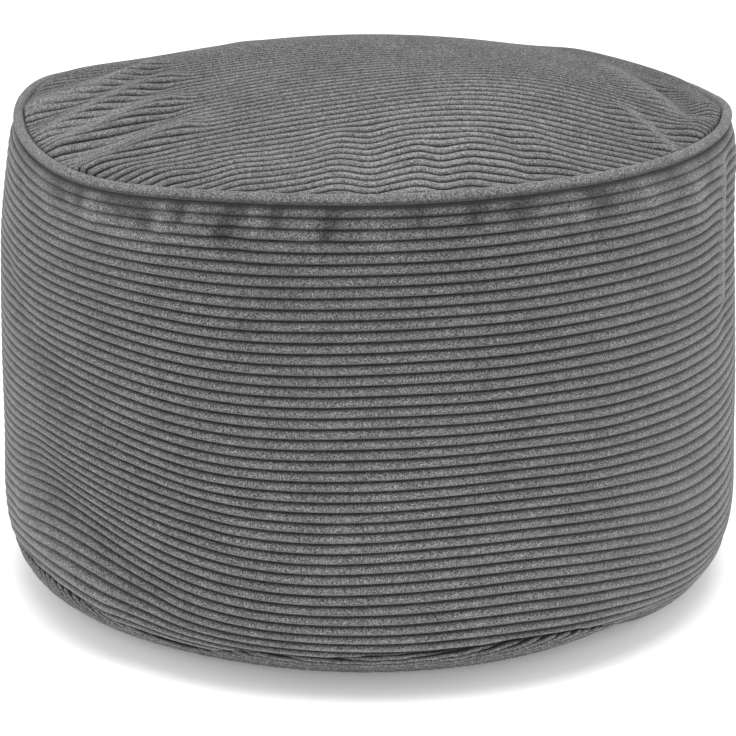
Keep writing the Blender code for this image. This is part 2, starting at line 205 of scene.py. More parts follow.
# How the rim rises and dips.
#   azimuth (deg), spread (deg), lift
RIM_WAVES = (
    (-53.0, 26.0, -0.0105),
    (26.0, 22.0, 0.0018),
    (86.0, 10.0, 0.0020),
    (108.0, 22.0, -0.0042),
    (-105.0, 17.0, 0.0040),
    (-132.0, 24.0, -0.0030),
    (142.0, 24.0, -0.0020),
)

# Drift of the side band's ribs on the cloth.
#   azimuth (deg), height, azimuth spread (deg), height spread, lift
RIB_DRIFTS = (
    (-24.0, 0.170, 20.0, 0.150, -0.0045),
    (-50.0, 0.085, 20.0, 0.050, 0.0110),
    (18.0, 0.080, 20.0, 0.070, 0.0040),
    (70.0, 0.080, 20.0, 0.050, -0.0080),
    (135.0, 0.150, 30.0, 0.080, 0.0050),
    (-145.0, 0.110, 28.0, 0.060, -0.0050),
)

EDGE_FULL_WIDTH = 0.032      # how far in from the rim the full edges of the top panel reach
EDGE_START_WIDTH = 0.005     # how far in from the rim they are still held down
EDGE_START_SHARE = 0.35      # share of their fullness right at the rim
RIB_TURN = 4.2               # degrees by which the top panel's ribs run towards the back on the right

# Where the filling makes the crown fuller or slacker.
#   x, y, x spread, y spread, rise
CROWN_FORMS = (
    (-0.116, -0.071, 0.057, 0.077, -0.0043),
    (-0.177, -0.112, 0.026, 0.046, -0.0076),
    (-0.055, -0.165, 0.050, 0.035, -0.0035),
    (0.058, -0.140, 0.066, 0.100, 0.0088),
    (0.127, -0.079, 0.069, 0.070, 0.0078),
    (0.088, -0.187, 0.026, 0.028, 0.0046),
)

# Where the top panel stands full right behind its piping.
#   azimuth (deg), spread (deg), rise
EDGE_FULLNESS = (
    (-112.0, 26.0, 0.0040),
)

# Soft troughs (-) and ridges (+) of the side band.
#   from azimuth (deg), height, to azimuth (deg), height, half width, rise, ribs' fade
SIDE_FOLDS = (
    (-73.0, 0.235, -26.0, 0.118, 0.016, -0.0022, 0.0),
    (-60.0, 0.120, -34.0, 0.062, 0.018, -0.0030, 0.0),
    (-66.0, 0.075, -44.0, 0.045, 0.014, 0.0025, 0.0),
    (73.0, 0.305, 72.0, 0.200, 0.018, -0.0025, 0.0),
    (69.6, 0.307, 69.0, 0.222, 0.0075, 0.0026, 0.8),
    (84.0, 0.110, 84.0, 0.045, 0.060, 0.0018, 0.0),
    (-46.0, 0.306, -33.0, 0.292, 0.009, 0.0024, 0.0),
    (-21.0, 0.318, -20.0, 0.295, 0.010, -0.0025, 0.0),
    (52.0, 0.310, 60.0, 0.285, 0.012, 0.0018, 0.0),
    (97.0, 0.315, 97.0, 0.250, 0.045, -0.0028, 0.0),
    (118.0, 0.300, 150.0, 0.180, 0.018, -0.0030, 0.0),
    (-155.0, 0.230, -118.0, 0.120, 0.018, -0.0030, 0.0),
    (165.0, 0.110, -170.0, 0.060, 0.016, 0.0012, 0.0),
)

# Where the pile is crushed to and fro below the piping.
#   azimuth (deg), spread (deg), share
CRUSHED_STRETCHES = (
    (-45.0, 28.0, 1.0),
    (40.0, 26.0, 0.8),
    (140.0, 40.0, 0.7),
    (-130.0, 34.0, 0.7),
)

PUCKER_TOP = 0.320           # height where the puckers start
PUCKER_FADE = 0.12           # share of the ribs' depth that each pucker takes away
PUCKER_PAINTED_LIGHT_PER_RISE = 180.0       # painted light for each metre that a pucker stands up, and painted shade for each metre that it sinks
FOLD_PAINTED_LIGHT_PER_RISE = 60.0   # the same for a fold
LIT_SHARE = 0.45             # share of that painted light that a pucker's ridge keeps
UNDER_PIPING_TOP = 0.322     # height where the painted shadow under the piping is full
UNDER_PIPING_REACH = 0.010
UNDER_PIPING_PAINTED_SHADOW = 0.22
CRUSHED_SHARE = 0.08
CRUSHED_SQUEEZE = 0.45       # makes the crushed patches taller than they are wide
CRUSHED_REACH = 2.2          # how many times further down than that painted shadow the pile is crushed
CRUSHED_FADE = 0.22
FOOT_PAINTED_LIGHT = 0.20              # painted light and shade: how much darker the side band is at the top than at the foot
SIDE_ON_PAINTED_SHADE = 0.13             # painted shade: how much darker the side band is on the left and right

# Short puckers where the side band is eased into the piping.
#   azimuth (deg), lower end's azimuth (deg), lower end's height, half width, rise
PUCKERS = (
    (-72.0, -68.0, 0.298, 0.006, -0.0014),
    (-62.0, -57.0, 0.300, 0.006, 0.0014),
    (-56.2, -54.0, 0.312, 0.005, -0.0022),
    (-50.3, -49.5, 0.314, 0.004, -0.0026),
    (-47.0, -45.5, 0.307, 0.006, 0.0030),
    (-41.5, -40.0, 0.312, 0.006, -0.0030),
    (-37.5, -35.5, 0.309, 0.006, -0.0034),
    (-32.5, -32.2, 0.305, 0.004, 0.0032),
    (-29.5, -29.4, 0.313, 0.004, -0.0034),
    (-27.0, -27.0, 0.310, 0.004, 0.0022),
    (-23.0, -23.5, 0.312, 0.004, 0.0014),
    (-20.2, -22.2, 0.304, 0.0050, -0.0050),
    (-17.2, -17.2, 0.306, 0.005, 0.0014),
    (-14.0, -14.0, 0.313, 0.004, -0.0032),
    (-9.5, -9.5, 0.306, 0.008, 0.0010),
    (-5.7, -6.6, 0.306, 0.0045, -0.0036),
    (0.5, 0.5, 0.306, 0.008, 0.0012),
    (6.8, 6.6, 0.311, 0.005, -0.0018),
    (15.0, 14.8, 0.311, 0.005, -0.0022),
    (22.0, 22.0, 0.312, 0.009, -0.0020),
    (30.2, 31.0, 0.306, 0.004, 0.0020),
    (35.0, 36.0, 0.310, 0.008, -0.0026),
    (44.5, 46.0, 0.302, 0.008, 0.0020),
    (51.0, 52.5, 0.304, 0.007, -0.0018),
    (57.0, 58.0, 0.299, 0.007, 0.0016),
    (63.0, 63.0, 0.303, 0.006, -0.0014),
    (75.0, 76.0, 0.303, 0.006, -0.0014),
    (80.0, 82.0, 0.296, 0.008, 0.0014),
    (90.0, 91.0, 0.300, 0.006, -0.0018),
    (103.0, 102.0, 0.295, 0.007, 0.0014),
    (112.0, 113.0, 0.300, 0.005, -0.0020),
    (124.0, 124.0, 0.298, 0.007, 0.0012),
    (133.0, 134.0, 0.300, 0.005, -0.0018),
    (147.0, 146.0, 0.296, 0.008, 0.0014),
    (158.0, 158.0, 0.300, 0.005, -0.0020),
    (169.0, 170.0, 0.298, 0.007, 0.0014),
    (-178.0, -178.0, 0.300, 0.005, -0.0018),
    (-166.0, -165.0, 0.296, 0.008, 0.0012),
    (-153.0, -153.0, 0.300, 0.005, -0.0020),
    (-141.0, -140.0, 0.297, 0.007, 0.0014),
    (-130.0, -131.0, 0.300, 0.005, -0.0018),
    (-119.0, -118.0, 0.296, 0.007, 0.0014),
    (-107.0, -107.0, 0.300, 0.005, -0.0020),
    (-95.0, -95.0, 0.297, 0.007, 0.0014),
    (-84.0, -84.0, 0.300, 0.005, -0.0014),
)

# Soft ridges (+) and troughs (-) of the top panel, each through three points in plan.
#   start x, y, middle x, y, end x, y, half width, rise
TOP_FOLDS = (
    (-0.180, -0.140, -0.156, -0.134, -0.120, -0.117, 0.011, 0.0040),
    (-0.201, -0.108, -0.170, -0.106, -0.130, -0.087, 0.010, -0.0022),
    (-0.199, -0.096, -0.173, -0.086, -0.132, -0.062, 0.011, 0.0038),
    (-0.210, -0.077, -0.182, -0.064, -0.140, -0.033, 0.010, -0.0020),
    (-0.209, -0.073, -0.179, -0.051, -0.137, -0.013, 0.011, 0.0038),
    (-0.219, -0.042, -0.188, -0.023, -0.150, 0.008, 0.010, -0.0022),
    (-0.224, -0.018, -0.184, -0.001, -0.150, 0.032, 0.012, 0.0042),
    (-0.222, 0.020, -0.190, 0.035, -0.160, 0.060, 0.012, -0.0020),
    (-0.168, -0.146, -0.150, -0.160, -0.125, -0.180, 0.012, 0.0030),
    (0.155, 0.040, 0.174, -0.014, 0.187, -0.044, 0.013, 0.0034),
    (0.192, 0.015, 0.203, -0.018, 0.209, -0.042, 0.013, -0.0055),
    (0.160, -0.092, 0.172, -0.108, 0.184, -0.126, 0.010, 0.0026),
    (0.172, -0.088, 0.182, -0.098, 0.190, -0.108, 0.010, -0.0030),
    (0.206, -0.088, 0.216, -0.058, 0.223, -0.015, 0.010, 0.0035),
    (0.098, -0.152, 0.113, -0.178, 0.120, -0.192, 0.011, 0.0010),
    (0.085, -0.165, 0.091, -0.182, 0.094, -0.198, 0.009, -0.0018),
    (-0.080, -0.226, -0.081, -0.205, -0.083, -0.180, 0.012, 0.0014),
    (-0.023, -0.227, -0.023, -0.200, -0.023, -0.160, 0.013, 0.0022),
    (-0.001, -0.227, -0.001, -0.200, -0.001, -0.160, 0.011, -0.0020),
    (0.027, -0.226, 0.027, -0.205, 0.027, -0.180, 0.010, 0.0016),
    (0.041, -0.224, 0.041, -0.207, 0.041, -0.185, 0.008, -0.0012),
    (0.060, -0.220, 0.060, -0.200, 0.060, -0.175, 0.011, 0.0016),
    (-0.120, 0.185, -0.105, 0.160, -0.092, 0.140, 0.014, 0.0010),
    (0.060, 0.215, 0.053, 0.192, 0.048, 0.170, 0.014, 0.0018),
    (0.150, 0.125, 0.175, 0.112, 0.205, 0.085, 0.030, 0.0048),
)

# Bands of the top panel where its ribs fade along a fold, and their pile is painted paler as sheen.
#   start x, y, middle x, y, end x, y, half width, share of the ribs that fades
TOP_FADES_AND_SHEEN = (
    (-0.186, -0.119, -0.166, -0.108, -0.141, -0.106, 0.009, 0.85),
    (-0.141, -0.106, -0.128, -0.107, -0.108, -0.100, 0.013, 0.40),
    (-0.199, -0.085, -0.180, -0.070, -0.151, -0.054, 0.009, 0.80),
    (-0.208, -0.066, -0.182, -0.037, -0.154, -0.002, 0.008, 0.80),
    (-0.226, -0.021, -0.190, -0.007, -0.153, 0.032, 0.009, 0.80),
    (0.160, 0.026, 0.180, -0.025, 0.199, -0.057, 0.010, 0.90),
    (0.166, -0.082, 0.177, -0.096, 0.189, -0.128, 0.007, 0.85),
)

# Painted light (+) and painted shade (-) on the top panel: lighter at its front, darker on its left and
# right.
#   x, y, x spread, y spread, share
TOP_PAINTED_PATCHES = (
    (-0.020, -0.195, 0.130, 0.045, 0.12),
    (-0.155, -0.040, 0.050, 0.080, -0.12),
    (0.180, -0.020, 0.035, 0.080, -0.08),
)


# ---- Curves and soft forms --------------------------------------------------------------------
def catmull_rom(points, steps=16):
    """A smooth curve through every point of a polyline."""
    points = np.asarray(points, float)
    before = np.vstack([2 * points[0] - points[1], points[:-1]])
    after = np.vstack([points[1:], 2 * points[-1] - points[-2]])
    slope = (after - before) / 2
    curve = []
    for here, there, leave, arrive in zip(points[:-1], points[1:], slope[:-1], slope[1:]):
        for u in np.arange(steps) / steps:
            blend = 3 * u ** 2 - 2 * u ** 3
            point = here + (there - here) * blend
            point = point + leave * (u ** 3 - 2 * u ** 2 + u) + arrive * (u ** 3 - u ** 2)
            curve.append(point)
    curve.append(points[-1])
    return np.array(curve)


OUTLINE = catmull_rom(BAG_OUTLINE)
OUTLINE_LENGTH = np.concatenate([[0.0], np.cumsum(np.hypot(*np.diff(OUTLINE, axis=0).T))])
OUTLINE_TANGENT = np.gradient(OUTLINE, OUTLINE_LENGTH, axis=0)


def smooth_step(x):
    """Eases from 0 to 1 as x does, and stays there."""
    x = np.clip(x, 0.0, 1.0)
    return x * x * (3 - 2 * x)


def turn(azimuth, centre):
    """Signed angle in degrees from centre to azimuth, the short way round."""
    return (np.degrees(azimuth) - centre + 180.0) % 360.0 - 180.0


def side_on(azimuth):
    """1 at the left and right of the bag, 0 at its front and back."""
    return np.sin(azimuth) ** SIDE_ON_POWER


def waves(azimuth, table):
    """Sum of the soft waves that a table sets round the bag."""
    total = np.zeros_like(azimuth)
    for centre, spread, lift in table:
        total = total + lift * np.exp(-(turn(azimuth, centre) / spread) ** 2)
    return total


def line_distance(x, y, points, samples=13):
    """Distance from (x, y) to a smooth line through a few points."""
    best = np.full(np.shape(x), np.inf)
    for px, py in catmull_rom(points, samples):
        best = np.minimum(best, (x - px) ** 2 + (y - py) ** 2)
    return np.sqrt(best)


def side_line(azimuth, height, start, start_height, end, end_height):
    """Distance from places on the side band to a line on it."""
    around = np.radians(turn(azimuth, start)) * RIM_RADIUS
    reach = np.radians(turn(np.radians(end), start)) * RIM_RADIUS
    return line_distance(around, height, ((0.0, start_height), (reach, end_height)))


def side_fold(azimuth, height):
    """How far the side band stands proud (+) or sinks (-), its ribs' fade, and its crushed pile's tone
    with painted light and shade.
    """
    total = np.zeros_like(azimuth)
    pile_tone_and_painted_light = np.zeros_like(azimuth)
    faded = np.zeros_like(azimuth)
    # Folds and puckers: painted light on their ridges and painted shade in their hollows.
    for start, start_height, end, end_height, half_width, rise, fade in SIDE_FOLDS:
        away = side_line(azimuth, height, start, start_height, end, end_height)
        near = np.exp(-(away / half_width) ** 2)
        total = total + rise * near
        pile_tone_and_painted_light = pile_tone_and_painted_light + rise * FOLD_PAINTED_LIGHT_PER_RISE * near
        faded = faded + fade * near
    for start, end, end_height, half_width, rise in PUCKERS:
        away = side_line(azimuth, height, start, PUCKER_TOP, end, end_height)
        near = np.exp(-(away / half_width) ** 2)
        total = total + rise * near
        pile_tone_and_painted_light = pile_tone_and_painted_light + rise * PUCKER_PAINTED_LIGHT_PER_RISE * near * (LIT_SHARE if rise > 0 else 1.0)
        faded = faded + PUCKER_FADE * near
    # Painted shadow under the piping.
    under_piping = np.maximum((UNDER_PIPING_TOP - height) / UNDER_PIPING_REACH, 0.0)
    pile_tone_and_painted_light = pile_tone_and_painted_light - UNDER_PIPING_PAINTED_SHADOW * np.exp(-under_piping ** 2)
    around = azimuth * RIM_RADIUS
    crushed = unevenness(around, height * CRUSHED_SQUEEZE, 0.0, *CRUSHED_NOISE)
    crushed = CRUSHED_SHARE * crushed
    reach = np.exp(-(under_piping / CRUSHED_REACH) ** 2) * waves(azimuth, CRUSHED_STRETCHES)
    # Crushed pile below the piping, then painted light at the foot and painted shade at the top.
    pile_tone_and_painted_light = pile_tone_and_painted_light + crushed * reach + FOOT_PAINTED_LIGHT * (0.5 - height / RIM_HEIGHT)
    # Painted shade on the left and right.
    pile_tone_and_painted_light = pile_tone_and_painted_light - SIDE_ON_PAINTED_SHADE * side_on(azimuth)
    faded = faded + CRUSHED_FADE * reach
    return total, np.clip(faded, 0.0, 1.0), pile_tone_and_painted_light


def top_fold(x, y):
    """Height that the folds of the top panel add at (x, y), and the share of its ribs that fades."""
    total = np.zeros_like(x)
    faded = np.zeros_like(x)
    for x0, y0, x1, y1, x2, y2, half_width, rise in TOP_FOLDS:
        away = line_distance(x, y, ((x0, y0), (x1, y1), (x2, y2)))
        total = total + rise * np.exp(-(away / half_width) ** 2)
    for x0, y0, x1, y1, x2, y2, half_width, fade in TOP_FADES_AND_SHEEN:
        away = line_distance(x, y, ((x0, y0), (x1, y1), (x2, y2)))
        faded = np.maximum(faded, fade * np.exp(-(away / half_width) ** 2))
    return total, faded


def unevenness(x, y, z, seed, wavelength):
    """Soft random unevenness from about -1 to 1, over places in space."""
    draw = np.random.default_rng(seed)
    total = np.zeros(np.broadcast(x, y, z).shape)
    for _ in range(WAVES_ADDED):
        heading = draw.normal(size=3)
        heading = heading / np.linalg.norm(heading)
        length = wavelength * draw.uniform(SHORTEST_WAVE, LONGEST_WAVE)
        start = draw.uniform(0, 2 * np.pi)
        swing = x * heading[0] + y * heading[1] + z * heading[2]
        total = total + np.sin(swing * 2 * np.pi / length + start)
    return total / np.sqrt(WAVES_ADDED) / TALLEST_WAVE


# ---- The bag's surface ------------------------------------------------------------------------
def rim_height(azimuth):
    """Height of the piping's middle, lower at the back."""
    back = (1 - np.cos(azimuth)) / 2
    return RIM_HEIGHT - BACK_DIP * back ** BACK_POWER + waves(azimuth, RIM_WAVES)


def base_seam_height(azimuth):
    """Height of the seam between the side band and the base panel."""
    seam = catmull_rom(BASE_SEAM)
    return np.interp(turn(azimuth, 0.0), seam[:, 0], seam[:, 1])


def bag_point(azimuth, along, proud):
    """Point on the bag at an arc length up its outline, standing proud of it."""
    height = np.interp(along, OUTLINE_LENGTH, OUTLINE[:, 0])
    radius = np.interp(along, OUTLINE_LENGTH, OUTLINE[:, 1])
    rise = np.interp(along, OUTLINE_LENGTH, OUTLINE_TANGENT[:, 0])
    spread = np.interp(along, OUTLINE_LENGTH, OUTLINE_TANGENT[:, 1])
    upper = smooth_step((height - FOLLOW_HEIGHT) / (RIM_HEIGHT - FOLLOW_HEIGHT))
    lean = smooth_step((height - LEAN_HEIGHT) / (RIM_HEIGHT - LEAN_HEIGHT))
    radius = radius + proud * rise
    radius = radius + waves(azimuth, FLOOR_WAVES) * (1 - smooth_step(height / SPREAD_HEIGHT))
    height = height - proud * spread + (rim_height(azimuth) - RIM_HEIGHT) * upper
    x = radius * np.sin(azimuth) + RIM_SHIFT * lean
    return np.stack([x, -radius * np.cos(azimuth), height], axis=-1)


def rim_point(azimuth, radius, lift):
    """Point at a radius about the rim's middle, lifted from the piping's middle."""
    x = radius * np.sin(azimuth) + RIM_SHIFT
    return np.stack([x, -radius * np.cos(azimuth), rim_height(azimuth) + lift], axis=-1)


def crown_height(x, y, folds):
    """Height of the top panel at (x, y) from the rim's middle, with its folds."""
    out = np.clip(np.hypot(x, y) / RIM_RADIUS, 0.0, 1.0)
    azimuth = np.arctan2(x, -y)
    back = (1 + y / RIM_RADIUS) / 2
    height = RIM_HEIGHT + CROWN_RISE * (1 - out ** CROWN_POWER) - BACK_DIP * back ** BACK_POWER
    held = 1 - out ** WALL_POWER
    inward = np.maximum(TOP_RADIUS - np.hypot(x, y), 0.0)
    started = 1 - (1 - EDGE_START_SHARE) * np.exp(-(inward / EDGE_START_WIDTH) ** 2)
    edge = started * np.exp(-(inward / EDGE_FULL_WIDTH) ** 2)
    height = height + waves(azimuth, EDGE_FULLNESS) * edge
    for middle_x, middle_y, wide, deep, rise in CROWN_FORMS:
        place = ((x - middle_x) / wide) ** 2 + ((y - middle_y) / deep) ** 2
        height = height + rise * held * np.exp(-place)
    return height + waves(azimuth, RIM_WAVES) * out ** WALL_POWER + folds


# ---- Meshes -----------------------------------------------------------------------------------
def new_piece(name, points, faces, marks, material):
    """One smooth mesh object; marks are numbers kept at its points for the material to read."""
    mesh = bpy.data.meshes.new(name)
    mesh.from_pydata(points.tolist(), [], faces)
    mesh.update()
    mesh.shade_smooth()
    for mark, values in marks.items():
        layer = mesh.attributes.new(mark, "FLOAT", "POINT")
        layer.data.foreach_set("value", np.asarray(values, np.float32).ravel())
    mesh.materials.append(material)
    piece = bpy.data.objects.new(name, mesh)
    bpy.context.scene.collection.objects.link(piece)
    return piece


def closed_rings(rows, size):
    """Quads between stacked rings of points, closed to a middle point below and one above.

    The two middle points come last in the mesh. The rings climb and run anticlockwise.
    """
    faces = []
    for row in range(rows - 1):
        low = row * size
        high = low + size
        for i in range(size):
            j = (i + 1) % size
            faces.append((low + i, low + j, high + j, high + i))
    low_middle = rows * size
    high_start = (rows - 1) * size
    for i in range(size):
        j = (i + 1) % size
        faces.append((j, i, low_middle))
        faces.append((high_start + i, high_start + j, low_middle + 1))
    return faces


def rib_rows(ribs):
    """Place of each row of points across all the ribs, its share of the full depth, and its share of the
    darkening, which is partly painted shade.
    """
    rows = [(rib + place, depth, shade) for rib in range(ribs) for place, depth, shade in RIB_PROFILE]
    return np.array(rows + [(ribs, 1.0, 1.0)]).T


def make_side_band(material):
    """The boxing strip: rows of points up its ribs, cut off below by the base seam."""
    turns = np.arange(SIDE_COLUMNS) * 2 * np.pi / SIDE_COLUMNS
    azimuth = turns - FRONT_CROWDING * np.sin(turns)
    seam = np.interp(base_seam_height(azimuth), OUTLINE[:, 0], OUTLINE_LENGTH)[None, :]
    start = RIB_START_HEIGHT + waves(azimuth, RIB_START_WAVES)
    start = np.interp(start, OUTLINE[:, 0], OUTLINE_LENGTH)[None, :]
    top = OUTLINE_LENGTH[-1]
    places, depths, shades = rib_rows(SIDE_RIBS)
    # Painted shadow of each rib on the rib below it.
    rib_shadow = np.clip((places % 1.0 - RIB_SHADOW_START) / RIB_SHADOW_REACH, 0.0, 1.0)
    shades = np.minimum(shades + RIB_PAINTED_SHADOW * rib_shadow, 1.0)
    share = (places / SIDE_RIBS)[:, None]
    azimuth = np.repeat(azimuth[None, :], len(places), axis=0)
    along = start + (top - start) * share
    height = np.interp(along, OUTLINE_LENGTH, OUTLINE[:, 0])
    drift = np.zeros_like(azimuth)
    for centre, middle, spread, tall, lift in RIB_DRIFTS:
        place = (turn(azimuth, centre) / spread) ** 2 + ((height - middle) / tall) ** 2
        drift = drift + lift * np.exp(-place)
    side_x = RIM_RADIUS * np.sin(azimuth)
    side_y = -RIM_RADIUS * np.cos(azimuth)
    drift = drift + SIDE_WANDER * unevenness(side_x, side_y, along, *SIDE_WANDER_NOISE)
    hold = smooth_step(share / LOWER_HOLD) * smooth_step((1 - share) / UPPER_HOLD)
    along = along + drift * hold
    along = np.maximum(along, seam + SEAM_STEP * places[:, None])
    height = np.interp(along, OUTLINE_LENGTH, OUTLINE[:, 0])
    fold, faded, pile_tone_and_painted_light = side_fold(azimuth, height)
    upper = smooth_step((height - FOLLOW_HEIGHT) / (RIM_HEIGHT - FOLLOW_HEIGHT))
    off_floor = smooth_step(height / RIB_START_HEIGHT)
    fold = fold * off_floor * (1 - upper ** TAUT_POWER)
    uneven = DEPTH_UNEVENNESS * unevenness(side_x, side_y, along, *SIDE_DEPTH_NOISE)
    depth = RIB_DEPTH * (1 - faded) * (1 + uneven)
    # The crease where the band curls in to its seam: sunk, and painted dark as shade.
    tucked = 1 - smooth_step((along - seam) / SEAM_TUCK)
    # Painted light from the side lamps, easing the grooves' painted shade on the left and right.
    side_lit = 1 - SIDE_LAMP_PAINTED_LIGHT * side_on(azimuth)
    # Painted shade in the grooves, eased by painted light on the left and right, with the seam's crease
    # painted dark.
    groove_and_painted_shade = np.maximum(shades[:, None] * (1 - faded) * side_lit, tucked)
    sunk = np.maximum(depth * depths[:, None], RIB_DEPTH * tucked)
    points = bag_point(azimuth, along, fold - sunk)
    points[0, :, 2] += GAP / 2
    middles = [[0.0, 0.0, points[0, :, 2].mean()], [RIM_SHIFT, 0.0, points[-1, :, 2].mean()]]
    faces = closed_rings(len(places), SIDE_COLUMNS)
    points = np.vstack([points.reshape(-1, 3), middles])
    marks = {
        "groove_and_painted_shade": np.append(groove_and_painted_shade.ravel(), [0, 0]),
        "rubbed_and_sheen": np.append(faded.ravel(), [0, 0]),
        "pile_tone_and_painted_light": np.append(pile_tone_and_painted_light.ravel(), [0, 0]),
    }
    return new_piece("side_band_cloth", points, faces, marks, material)


def make_top_panel(material):
    """The crowned round panel: rows of points across its ribs, and a low wall inside the piping."""
    places, depths, shades = rib_rows(TOP_RIBS)
    # Painted shade on the front flank of each rib.
    shades = np.minimum(shades + FRONT_PAINTED_SHADE * np.clip(1 - places % 1.0 * 2, 0.0, 1.0), 1.0)
    share = places / TOP_RIBS
    y = EDGE_ROWS * TOP_RADIUS * (2 * share - 1)
    half_chord = np.sqrt(TOP_RADIUS ** 2 - y ** 2)
    u = np.linspace(-1.0, 1.0, TOP_STEPS + 1)
    x = half_chord[:, None] * u[None, :]
    y = np.repeat(y[:, None], TOP_STEPS + 1, axis=1)
    out = np.hypot(x, y) / TOP_RADIUS
    free = smooth_step((1 - out) / TOP_WANDER_FADE)
    y = y + TOP_WANDER * unevenness(x, y, 0.0, *TOP_WANDER_NOISE) * free
    heading = np.radians(RIB_TURN)
    x, y = x * np.cos(heading) - y * np.sin(heading), x * np.sin(heading) + y * np.cos(heading)
    folds, faded = top_fold(x, y)
    uneven = DEPTH_UNEVENNESS * unevenness(x, y, 0.0, *TOP_DEPTH_NOISE)
    depth = TOP_RIB_DEPTH * (1 - faded) * (1 + uneven)
    z = crown_height(x, y, folds) - depth * depths[:, None]
    z = np.maximum(z, rim_height(np.arctan2(x, -y)) - PIPING_RADIUS + LEAST_WALL)
    # Painted light and shade by the slope, in place of light from the front.
    fall = np.gradient(crown_height(x, y, 0.0), axis=0) / np.gradient(y, axis=0)
    top_painted_light = np.clip(TOP_PAINTED_LEVEL + BACK_FALL_PAINTED_SHADE * fall, -TOP_PAINTED_LIMIT, TOP_PAINTED_LIMIT)
    # Painted light at the front and painted shade on the left and right.
    for middle_x, middle_y, wide, deep, painted_lift in TOP_PAINTED_PATCHES:
        place = ((x - middle_x) / wide) ** 2 + ((y - middle_y) / deep) ** 2
        top_painted_light = top_painted_light + painted_lift * np.exp(-place)
    across = TOP_STEPS + 1
    rows = len(places)
    points = np.stack([x + RIM_SHIFT, y, z], axis=-1).reshape(-1, 3)
    faces = []
    for row in range(rows - 1):
        for step in range(TOP_STEPS):
            low = row * across + step
            faces.append((low, low + 1, low + across + 1, low + across))
    front = list(range(across))
    right = [row * across + TOP_STEPS for row in range(1, rows - 1)]
    back = [(rows - 1) * across + step for step in reversed(range(across))]
    left = [row * across for row in reversed(range(1, rows - 1))]
    edge = front + right + back + left
    edge_x = points[edge, 0] - RIM_SHIFT
    edge_y = points[edge, 1]
    azimuth = np.arctan2(edge_x, -edge_y)
    foot = rim_point(azimuth, np.hypot(edge_x, edge_y), -PIPING_RADIUS)
    middle = [[RIM_SHIFT, 0.0, foot[:, 2].mean()]]
    start = len(points)
    points = np.vstack([points, foot, middle])
    for i in range(len(edge)):
        j = (i + 1) % len(edge)
        faces.append((edge[j], edge[i], start + i, start + j))
        faces.append((start + j, start + i, len(points) - 1))
    extra = np.zeros(len(edge) + 1)
    marks = {
        "groove_and_painted_shade": np.append((shades[:, None] * (1 - faded)).ravel(), extra),
        "rubbed_and_sheen": np.append(faded.ravel(), extra),
        "pile_tone_and_painted_light": np.append(top_painted_light.ravel(), extra),
    }
    return new_piece("top_panel_cloth", points, faces, marks, material)


def make_piping(material):
    """The covered cord: a ring that follows the rim, a little uneven in thickness."""
    azimuth = np.arange(PIPING_SEGMENTS) * 2 * np.pi / PIPING_SEGMENTS
    loops = []
    for side in range(PIPING_SIDES):
        angle = side * 2 * np.pi / PIPING_SIDES
        x = RIM_RADIUS * np.sin(azimuth)
        y = -RIM_RADIUS * np.cos(azimuth)
        uneven = PIPING_UNEVENNESS * unevenness(x, y, angle * PIPING_RADIUS, *PIPING_NOISE)
        radius = PIPING_RADIUS * (PIPING_MEAN + uneven)
        loops.append(rim_point(azimuth, RIM_RADIUS + radius * np.cos(angle), radius * np.sin(angle)))
    points = np.vstack(loops)
    faces = []
    for side in range(PIPING_SIDES):
        low = side * PIPING_SEGMENTS
        high = (side + 1) % PIPING_SIDES * PIPING_SEGMENTS
        for i in range(PIPING_SEGMENTS):
            j = (i + 1) % PIPING_SEGMENTS
            faces.append((low + i, low + j, high + j, high + i))
    zeros = np.zeros(len(points))
    angles = np.arange(PIPING_SIDES) * 2 * np.pi / PIPING_SIDES
    # Painted light on top of the cord, and painted shade on its underside through the groove mark.
    painted_top_light = np.repeat(PIPING_PAINTED_LIGHT * np.sin(angles), PIPING_SEGMENTS)
    under = smooth_step((PIPING_UNDERSIDE - np.sin(angles)) / UNDERSIDE_REACH)
    under = np.repeat(under, PIPING_SEGMENTS)
    marks = {"groove_and_painted_shade": under, "rubbed_and_sheen": zeros, "pile_tone_and_painted_light": painted_top_light}
    return new_piece("top_piping_cloth", points, faces, marks, material)


